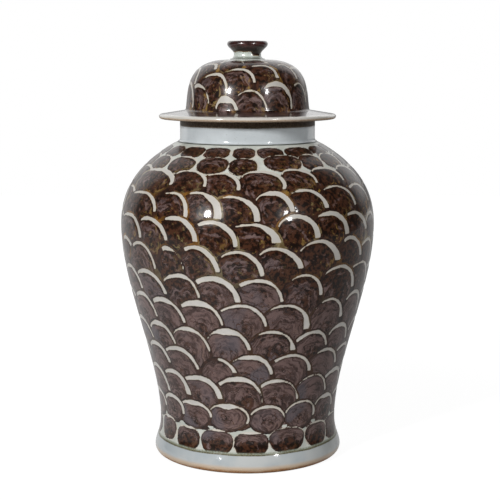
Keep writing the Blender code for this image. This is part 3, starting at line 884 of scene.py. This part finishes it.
def jar_finish(where, colour, rough, coat):
    """A grey-green line round the neck. Below the scales: a speckled edge, a dark line, pale glaze, clay."""
    x, y, height = where.parts()
    drift = wander(where, 30.0, 0.004)
    groove = (length(x, y) + drift * 0.15).fall(*GROOVE_END) * height.ramp(0.43, 0.44)
    colour = mixed(groove * 0.9, colour, (84, 86, 74))
    height = height + drift * 0.5
    speck = grain(where, 500.0, 3.0, 0.7)
    edge = mixed(speck.ramp(0.42, 0.60), (156, 164, 150), (120, 120, 96))
    colour = mixed(height.fall(*SPECKLED_END) * 0.9, colour, edge)
    line_colour = mixed(speck.ramp(0.40, 0.62), (84, 80, 60), (122, 120, 98))
    colour = mixed(height.fall(*LINE_END), colour, line_colour)
    band = mixed(grain(where, 25.0, 3.0).ramp(0.35, 0.65), (174, 181, 184), (190, 193, 192))
    on_band = height.fall(*BAND_END)
    colour = mixed(on_band, colour, band)
    toast = mixed(speck.ramp(0.35, 0.65), (196, 150, 104), (150, 98, 62))
    cream = mixed(height.fall(*TOASTED_END) * 0.8, colour, (206, 176, 142))
    fired = (height + drift).fall(*CLAY_END)
    colour = mixed(fired, cream, toast)
    return colour, rough - on_band * 0.20 + fired * 0.4, (coat + on_band * 0.2) * (1.0 - fired)


# In millimetres: how far the bare ground lies inside the outline, and the level noted for the foot's bead.
GROUND_DEPTH = 0.40
BELOW_SCALES = -20.0

jar_scales = laid_out(JAR_ROWS, jar_level, jar_radius, seed=11)


def levels_of(shown):
    """Level and radius in millimetres of the jar's shown rows, the bead of the foot below the scales."""
    level = jar_level(shown[:, 1] * 1000.0)
    return np.where(shown[:, 1] < FOOT_BEAD_HEIGHT, BELOW_SCALES, level), shown[:, 0] * 1000.0


ring_inner = FOOT_RADIUS - FOOT_RING_WIDTH
lower_shown = chained(bead[:-1], evenly(between(jar_outside, FOOT_BEAD_HEIGHT, JOINT_HEIGHT), SKIN_STEP))
inner_wall = between(jar_inside, FLOOR_TOP + FLOOR_CORNER_RADIUS, JOINT_HEIGHT)[::-1]
inner_wall = evenly(inner_wall, INNER_STEP)
underside = chained(
    (0.0, RECESS_DEPTH),
    5,
    rounded((ring_inner - RECESS_ROUNDING, RECESS_DEPTH), (ring_inner, RECESS_DEPTH - RECESS_ROUNDING),
            3, "level"),
    rounded((ring_inner, FOOT_RING_ROUNDING), (ring_inner + FOOT_RING_ROUNDING, 0.0), 5),
)
floor_corner = rounded(inner_wall[-1], (inner_wall[-1, 0] - FLOOR_CORNER_RADIUS, FLOOR_TOP), 6)
lower_skin = scaled_skin(
    "lower_body_skin",
    chained(underside, lower_shown, inner_wall, floor_corner[1:], 4, (0.0, FLOOR_TOP)),
    len(underside) - 1, levels_of(lower_shown), SKIN_COLUMNS, jar_scales, GROUND_DEPTH,
    fade=eased(lower_shown[:, 1], *RELIEF_START)[:, None],
)
jar_glaze = scale_glaze(
    "fish_scale_glaze", jar_film, jar_honey_and_shade, jar_pale, jar_line, swell=0.0008, haze=0.06, finish=jar_finish
)
lower_skin.data.materials.append(jar_glaze)
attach(lower_skin, "jar")
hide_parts("lower_body")


# Upper body
# The belly and shoulder, one thrown section luted on the lower one, with the flat seat of the neck on
# top. Painted with the same brush and glazed in one with the section below.

THROAT_DEPTH = 0.0042
MOUTH_RADIUS = 0.0855
HOLLOW_STEP = 0.010

upper_shown = evenly(between(jar_outside, JOINT_HEIGHT, BODY_HEIGHT), SKIN_STEP)
body_hollow = evenly(between(jar_inside, JOINT_HEIGHT, jar_inside[-1, 1])[::-1], HOLLOW_STEP)
upper_outline = chained(
    upper_shown,
    2,
    (MOUTH_RADIUS, BODY_HEIGHT), (MOUTH_RADIUS, BODY_HEIGHT - THROAT_DEPTH),
    body_hollow,
)
upper_skin = scaled_skin(
    "upper_body_skin", upper_outline, 0, levels_of(upper_shown), SKIN_COLUMNS, jar_scales, GROUND_DEPTH
)
upper_skin.data.materials.append(jar_glaze)
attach(upper_skin, "jar")
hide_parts("upper_body")


# Neck
# The upright collar, thrown by itself and luted on the shoulder's seat, with a groove round its foot.
# Pale celadon glaze, greyer in the groove, and brown from the rim that the lid rests on down to where
# the brim's shadow ends: a bare rim, and painted shade below it.

NECK_BASE = 0.4450
RIM_HEIGHT = 0.4790
NECK_RADIUS = 0.0948
NECK_FOOT_RADIUS = 0.0974
NECK_FOOT_EDGE = 0.0008
NECK_FILLET_HEIGHT = 0.0050
RIM_ROUNDING = 0.0022
NECK_COLUMNS = 240
GROOVE_TOP = (0.4454, 0.4464)
RIM_SHADE_BAND = (0.4664, 0.4676)

neck_outline = chained(
    (NECK_FOOT_RADIUS, NECK_BASE),
    rounded((NECK_FOOT_RADIUS, NECK_BASE + NECK_FOOT_EDGE), (NECK_RADIUS, NECK_BASE + NECK_FILLET_HEIGHT),
            10, "level"),
    15,
    rounded((NECK_RADIUS, RIM_HEIGHT - RIM_ROUNDING), (NECK_RADIUS - RIM_ROUNDING, RIM_HEIGHT), 6),
    rounded((MOUTH_RADIUS + RIM_ROUNDING, RIM_HEIGHT), (MOUTH_RADIUS, RIM_HEIGHT - RIM_ROUNDING),
            6, "level"),
    6,
    (MOUTH_RADIUS, NECK_BASE),
)


def celadon(where):
    """Colour of the pale glaze: cloudy grey-green with brown pinholes."""
    cloud = mixed(grain(where, 28.0, 4.0).ramp(0.32, 0.68), (185, 191, 194), (196, 202, 205))
    pits = grain(where, 700.0, 1.0).ramp(0.70, 0.78) * 0.5
    return mixed(pits, cloud, (112, 98, 74))


neck_glaze, neck_sheet, neck_at = new_sheet("celadon_neck")
neck_height = neck_at.parts()[2] + wander(neck_at, 60.0, 0.0006)
neck_speck = grain(neck_at, 450.0, 3.0, 0.7)
neck_colour = mixed(neck_height.fall(*GROOVE_TOP) * 0.8, celadon(neck_at), (84, 88, 76))
# Brown band at the neck's top: the bare rim, carried down as painted shade for the shadow under the brim.
rim_shade_brown = mixed(neck_speck.ramp(0.35, 0.65), (124, 108, 90), (92, 76, 60))
rim_shade_band = (neck_height + (neck_speck - 0.5) * 0.0012).ramp(*RIM_SHADE_BAND)
neck_waves = grain(neck_at, 60.0, 2.0) + grain(neck_at, 420.0, 2.0) * 0.08
neck_colour = mixed(rim_shade_band, neck_colour, rim_shade_brown)
surfaced(
    neck_sheet, neck_colour, rough=0.09 + rim_shade_band * 0.45, strength=0.5, swell=0.0008, waves=neck_waves,
    others={"IOR": 1.5},
)
neck_skin = turned_skin("neck_collar_skin", neck_outline, NECK_COLUMNS)
neck_skin.data.materials.append(neck_glaze)
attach(neck_skin, "jar")
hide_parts("neck_collar")


# Lid
# The domed cover with its flat brim, thrown in one. The dome carries three rows of the same scales, with
# more honey in the glaze. The brim has a brown wash on top, a celadon lip and bare clay under the lip.

LID_SEAT = 0.4793
CROWN_HEIGHT = 0.5583
BRIM_RADIUS = 0.1242
BRIM_TOP = 0.4882
LIP_BOTTOM = 0.4764
LIP_MIDDLE = 0.4801
LIP_TOP = 0.4832
LIP_DEPTH = 0.0043
LID_SEAT_RADIUS = 0.0965
DOME_RADIUS = 0.0865
DOME_FILLET = 0.0030
LID_WALL = 0.0080
KNOB_SEAT_RADIUS = 0.0262
DOME_LEAN = 0.040
DOME_BULGE = 0.385
DOME_COLUMNS = 432
DOME_STEP = 0.0015
DOME_HOLLOW_STEP = 0.006
DOME_GROUND_DEPTH = 0.15
DOME_PAINT_SHARE = 0.30
FILLET_ROWS = 6

# In millimetres: the level noted for the brim, and how far from the dome's foot and from its crown the
# relief of the paint begins and is full.
BRIM_LEVEL = -60.0
FOOT_FADE = (0.0, 3.0)
CROWN_FADE = (1.0, 4.0)

# DOME_LEAN is a share of the dome's radius, and curve() takes shares of the way from foot to crown.
dome_base = BRIM_TOP + DOME_FILLET
dome_lean = DOME_LEAN * DOME_RADIUS / (DOME_RADIUS - KNOB_SEAT_RADIUS)
dome_outside = curve(
    (DOME_RADIUS, dome_base), (KNOB_SEAT_RADIUS, CROWN_HEIGHT), (dome_lean, DOME_BULGE), (0.0, 1.0), 400
)
dome_run = run_along(dome_outside) * 1000.0


def dome_radius(run):
    """Radius of the dome in millimetres at a distance along its outline from its foot."""
    return np.interp(run, dome_run, dome_outside[:, 0]) * 1000.0


# The scales of the dome, as the ones of the jar. Their heights are already counted along its outline.
DOME_ROWS = [
    [(20, 16, 2.0, 0, 27.0),
     (-52, 92, -39, 74, -70, 86, 1, 2, 3, 3), (-21, 87, -5.5, 68, -11, 84, 1, 1, 3, 3),
     (8, 89, 30, 74, 22, 85, 1, 1, 3, 3), (47, 92, 66, 76, 45, 86, 1, 2, 3, 3)],
    [(27, 25, 2.0, 0, 26.6),
     (-33.3, 51.5, -19, 26, -48, 45.5, 1.4, 4, 4, 2.6), (-8.3, 60, 8.3, 37, -21, 56, 1.4, 3, 4, 4),
     (18.3, 68.5, 33.3, 44, 4.2, 65.5, 1.4, 3.4, 4, 5), (49, 71, 61, 42, 40, 67, 1.4, 2.6, 3.4, 4),
     (307, 73, 322.5, 58, 290, 68, 2.5, 3, 4, 4)],
    [(33, 32, 2.0, 0, 26.8),
     (-80, 38, -60, 2, -95, 32, 3, 4, 4, 3), (-56, 35, -37.4, 8, -62, 32, 5, 5, 1.2, 1.5),
     (-20.8, 19, -8.3, 0, -30.5, 4, 3, 9, 4, 3), (2.5, 27.4, 18.3, 2, -9, 20, 1.6, 2.2, 2.6, 2.6),
     (29.2, 39, 45, 1, 16.2, 31, 2.4, 7, 6, 2.6), (59, 36.5, 72, 8, 51, 33, 1.5, 2, 2.4, 2.4)],
]
dome_scales = laid_out(DOME_ROWS, np.asarray, dome_radius, seed=5)

lip_start = BRIM_RADIUS - LIP_DEPTH
brim_edge = chained(
    rounded((lip_start, LIP_BOTTOM), (BRIM_RADIUS, LIP_MIDDLE), 8, "level")[:-1],
    rounded((BRIM_RADIUS, LIP_MIDDLE), (lip_start, LIP_TOP), 8),
)
brim_fillet = rounded(
    (DOME_RADIUS + DOME_FILLET, BRIM_TOP), (DOME_RADIUS, dome_base), FILLET_ROWS, "level"
)
brim_shown = chained(brim_edge, 12, brim_fillet[:-1])
lid_shown = chained(brim_shown, evenly(dome_outside, DOME_STEP))
lid_inside = chained(
    (0.0, CROWN_HEIGHT - LID_WALL),
    evenly(inset(dome_outside, LID_WALL)[::-1], DOME_HOLLOW_STEP),
    1,
    (DOME_RADIUS - LID_WALL, LID_SEAT), (LID_SEAT_RADIUS, LID_SEAT),
    6,
    lid_shown[:1],
)

# Levels of the shown rows. The brim's lie far below the dome's foot, and its wash hides what comes there.
fillet_run = math.pi / 2 * DOME_FILLET * 1000.0
lid_level = np.concatenate([
    BRIM_LEVEL + np.arange(len(brim_shown) - FILLET_ROWS),
    np.linspace(-fillet_run, 0.0, FILLET_ROWS + 1)[:-1],
    np.linspace(0.0, dome_run[-1], len(lid_shown) - len(brim_shown)),
])
lid_fade = eased(lid_level, *FOOT_FADE) * eased(dome_run[-1] - lid_level, *CROWN_FADE)
lid_skin = scaled_skin(
    "lid_skin",
    chained(lid_inside, lid_shown[1:], 3, (0.0, CROWN_HEIGHT)),
    len(lid_inside) - 2, (lid_level, lid_shown[:, 0] * 1000.0), DOME_COLUMNS, dome_scales,
    DOME_GROUND_DEPTH, DOME_PAINT_SHARE, lid_fade[:, None],
)


def dome_pale(where):
    """Pale ground round the knob."""
    x, y, _ = where.parts()
    return length(x, y).fall(0.050, 0.060)


# Where the brim's zones blend into each other: as radii, and then as heights.
BRIM_START = (0.0882, 0.0890)
WASH_END = (0.1160, 0.1190)
BARE_START = (0.0970, 0.0980)
BRIM_UNDER = (0.4868, 0.4876)
WASH_LEVEL = (0.4828, 0.4834)
LIP_GLAZED = (0.4750, 0.4760)
BARE_END = (0.4788, 0.4804)


def brim_finish(where, colour, rough, coat):
    """Brown wash on the brim's top, celadon on its lip, bare clay under the lip."""
    x, y, height = where.parts()
    away = length(x, y)
    brim = away.ramp(*BRIM_START).math("MAXIMUM", height.fall(*BRIM_UNDER))
    streak = grain(joined(where, x * 0.5, y * 0.5, away * 4.0), 90.0, 3.0)
    wash = mixed(streak.ramp(0.42, 0.60), (48, 33, 30), (98, 80, 78))
    washed = (away + wander(where, 45.0, 0.006)).fall(*WASH_END) * height.ramp(*WASH_LEVEL)
    lip = mixed(height.ramp(*LIP_GLAZED) * 0.7, celadon(where), (206, 198, 186))
    colour = mixed(brim, colour, mixed(washed, lip, wash))
    speck = grain(where, 450.0, 3.0, 0.7)
    drift = wander(where, 30.0, 0.0016)
    bare = (height + drift).fall(*BARE_END) * away.ramp(*BARE_START)
    clay = mixed(speck.ramp(0.35, 0.65), (204, 182, 158), (176, 146, 118))
    return mixed(bare * 0.9, colour, clay), rough + bare * 0.30, (1.0 - bare) * (brim + 1.5) * coat


dome_glaze = scale_glaze(
    "dome_glaze", film=0.30, honey_and_shade=0.95, pale=dome_pale, line_width=0.8, swell=0.0003, haze=0.10,
    finish=brim_finish,
)
lid_skin.data.materials.append(dome_glaze)
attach(lid_skin, "cover")
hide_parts("lid")


# Locating ring
# The unglazed ring under the lid, thrown from the same clay and luted under the dome. It drops into the
# neck with some play and keeps the lid from sliding off.

RING_TOP = 0.4790
RING_DEPTH = 0.0220
RING_OUTER = 0.0829
RING_INNER = 0.0785
RING_ROUNDING = 0.0015
RING_COLUMNS = 180

ring_bottom = RING_TOP - RING_DEPTH
ring_outline = chained(
    (RING_INNER, RING_TOP),
    6,
    rounded((RING_INNER, ring_bottom + RING_ROUNDING), (RING_INNER + RING_ROUNDING, ring_bottom), 4),
    rounded((RING_OUTER - RING_ROUNDING, ring_bottom), (RING_OUTER, ring_bottom + RING_ROUNDING),
            4, "level"),
    8,
    (RING_OUTER, RING_TOP),
)
ring_skin = turned_skin("lid_locating_ring_skin", ring_outline, RING_COLUMNS)
ring_clay, clay, clay_at = new_sheet("bare_clay_ring")
clay_x, clay_y, clay_height = clay_at.parts()
turning = grain(joined(clay, clay_x * 0.04, clay_y * 0.04, clay_height), 900.0, 2.0)
grit = grain(clay_at, 800.0, 4.0, 0.7)
clay_colour = mixed(grain(clay_at, 40.0, 3.0).ramp(0.35, 0.65), (206, 182, 154), (188, 152, 116))
clay_colour = mixed(grit.ramp(0.60, 0.72) * 0.6, clay_colour, (120, 84, 58))
clay_waves = turning * 0.6 + grit * 0.4
surfaced(clay, clay_colour, rough=0.62 + grit * 0.2, strength=0.7, swell=0.0005, waves=clay_waves, others={})
ring_skin.data.materials.append(ring_clay)
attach(ring_skin, "cover")
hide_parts("lid_locating_ring")


# Knob
# The flared knob, turned by itself and luted on the crown. Dipped upside down in iron-rust glaze that ran
# down the flare in a wavy edge and one broad drip; celadon below it, darker grey at the foot. The rust is
# painted darker below the rim, as shade on the flare.

KNOB_BASE = 0.5586
KNOB_TOP = 0.5840
KNOB_FOOT_RADIUS = 0.0243
KNOB_FOOT_EDGE = 0.0008
KNOB_NECK_RADIUS = 0.0188
KNOB_NECK_HEIGHT = 0.0074
KNOB_RADIUS = 0.0282
KNOB_RIM_HEIGHT = 0.0044
KNOB_RIM_ROUNDING = 0.0036
KNOB_COLUMNS = 240
KNOB_FOOT_HANDLES = ((0.60, 0.0), (1.0, 0.40))
KNOB_FLARE_HANDLES = ((0.0, 0.36), (1.0, 0.66))
DIP_HEIGHT = 0.5690
DIP_WANDER = 0.0040
DRIP_AZIMUTH = 42.0
DRIP_LENGTH = 0.0056

# Where the knob's glazes blend into each other: the drip's sides as cosines, the dip's edge and the seam
# beside it as heights above the dip's line, and the ends of the painted shade below the rim and of the
# grey foot as heights.
DRIP_SIDES = (0.88, 0.965)
DIP_EDGE = (-0.0002, 0.0003)
SEAM_START = (-0.0009, 0.0006)
SEAM_END = (0.0002, 0.0014)
FLARE_SHADE_END = (0.5715, 0.5790)
GREY_FOOT_END = (0.5600, 0.5636)

knob_neck = (KNOB_NECK_RADIUS, KNOB_BASE + KNOB_NECK_HEIGHT)
knob_rim = (KNOB_RADIUS, KNOB_TOP - KNOB_RIM_HEIGHT)
knob_outline = chained(
    (0.0, KNOB_BASE),
    2,
    (KNOB_FOOT_RADIUS, KNOB_BASE),
    curve((KNOB_FOOT_RADIUS, KNOB_BASE + KNOB_FOOT_EDGE), knob_neck, *KNOB_FOOT_HANDLES, 12),
    curve(knob_neck, knob_rim, *KNOB_FLARE_HANDLES, 24)[1:],
    rounded(knob_rim, (KNOB_RADIUS - KNOB_RIM_ROUNDING, KNOB_TOP), 12)[1:],
    10,
    (0.0, KNOB_TOP),
)
knob_skin = turned_skin("lid_knob_skin", knob_outline, KNOB_COLUMNS)
knob_glaze, rust, knob_at = new_sheet("rust_and_celadon_knob")
knob_x, knob_y, knob_z = knob_at.parts()
drip_x, drip_y = math.sin(math.radians(DRIP_AZIMUTH)), -math.cos(math.radians(DRIP_AZIMUTH))
towards = (knob_x * drip_x + knob_y * drip_y) / length(knob_x, knob_y, 1e-8)
dip = DIP_HEIGHT + wander(knob_at, 70.0, DIP_WANDER)
above_dip = knob_z - (dip - towards.ramp(*DRIP_SIDES) * DRIP_LENGTH)
dipped = above_dip.ramp(*DIP_EDGE)
seam = above_dip.ramp(*SEAM_START) * above_dip.fall(*SEAM_END)
knob_cloud = grain(knob_at, 130.0, 3.0)
knob_grit = grain(knob_at, 700.0, 3.0, 0.65)
rust_colour = mixed(knob_cloud.ramp(0.35, 0.65), (40, 20, 18), (72, 39, 37))
rust_colour = mixed(knob_grit.ramp(0.58, 0.70) * 0.4, rust_colour, (108, 72, 64))
# Darker rust below the rim: painted shade on the flare, which faces down.
rust_colour = mixed(knob_z.fall(*FLARE_SHADE_END) * 0.85, rust_colour, (27, 16, 13))
knob_pale = mixed(knob_cloud.ramp(0.30, 0.70, 0.5, 0.9), celadon(knob_at), (190, 197, 186))
knob_pale = mixed(knob_z.fall(*GREY_FOOT_END) * 0.85, knob_pale, (96, 100, 90))
knob_colour = mixed(dipped, knob_pale, rust_colour)
knob_colour = mixed(seam * 0.8, knob_colour, (140, 104, 60))
knob_waves = grain(knob_at, 120.0, 2.0) + dipped * 0.5 + knob_grit * 0.06
surfaced(
    rust, knob_colour, rough=0.26 + knob_grit * 0.08, strength=0.6, swell=0.0006, waves=knob_waves,
    others={"IOR": 1.5, "Coat Weight": 0.6, "Coat Roughness": 0.16},
)
knob_skin.data.materials.append(knob_glaze)
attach(knob_skin, "cover")
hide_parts("lid_knob")
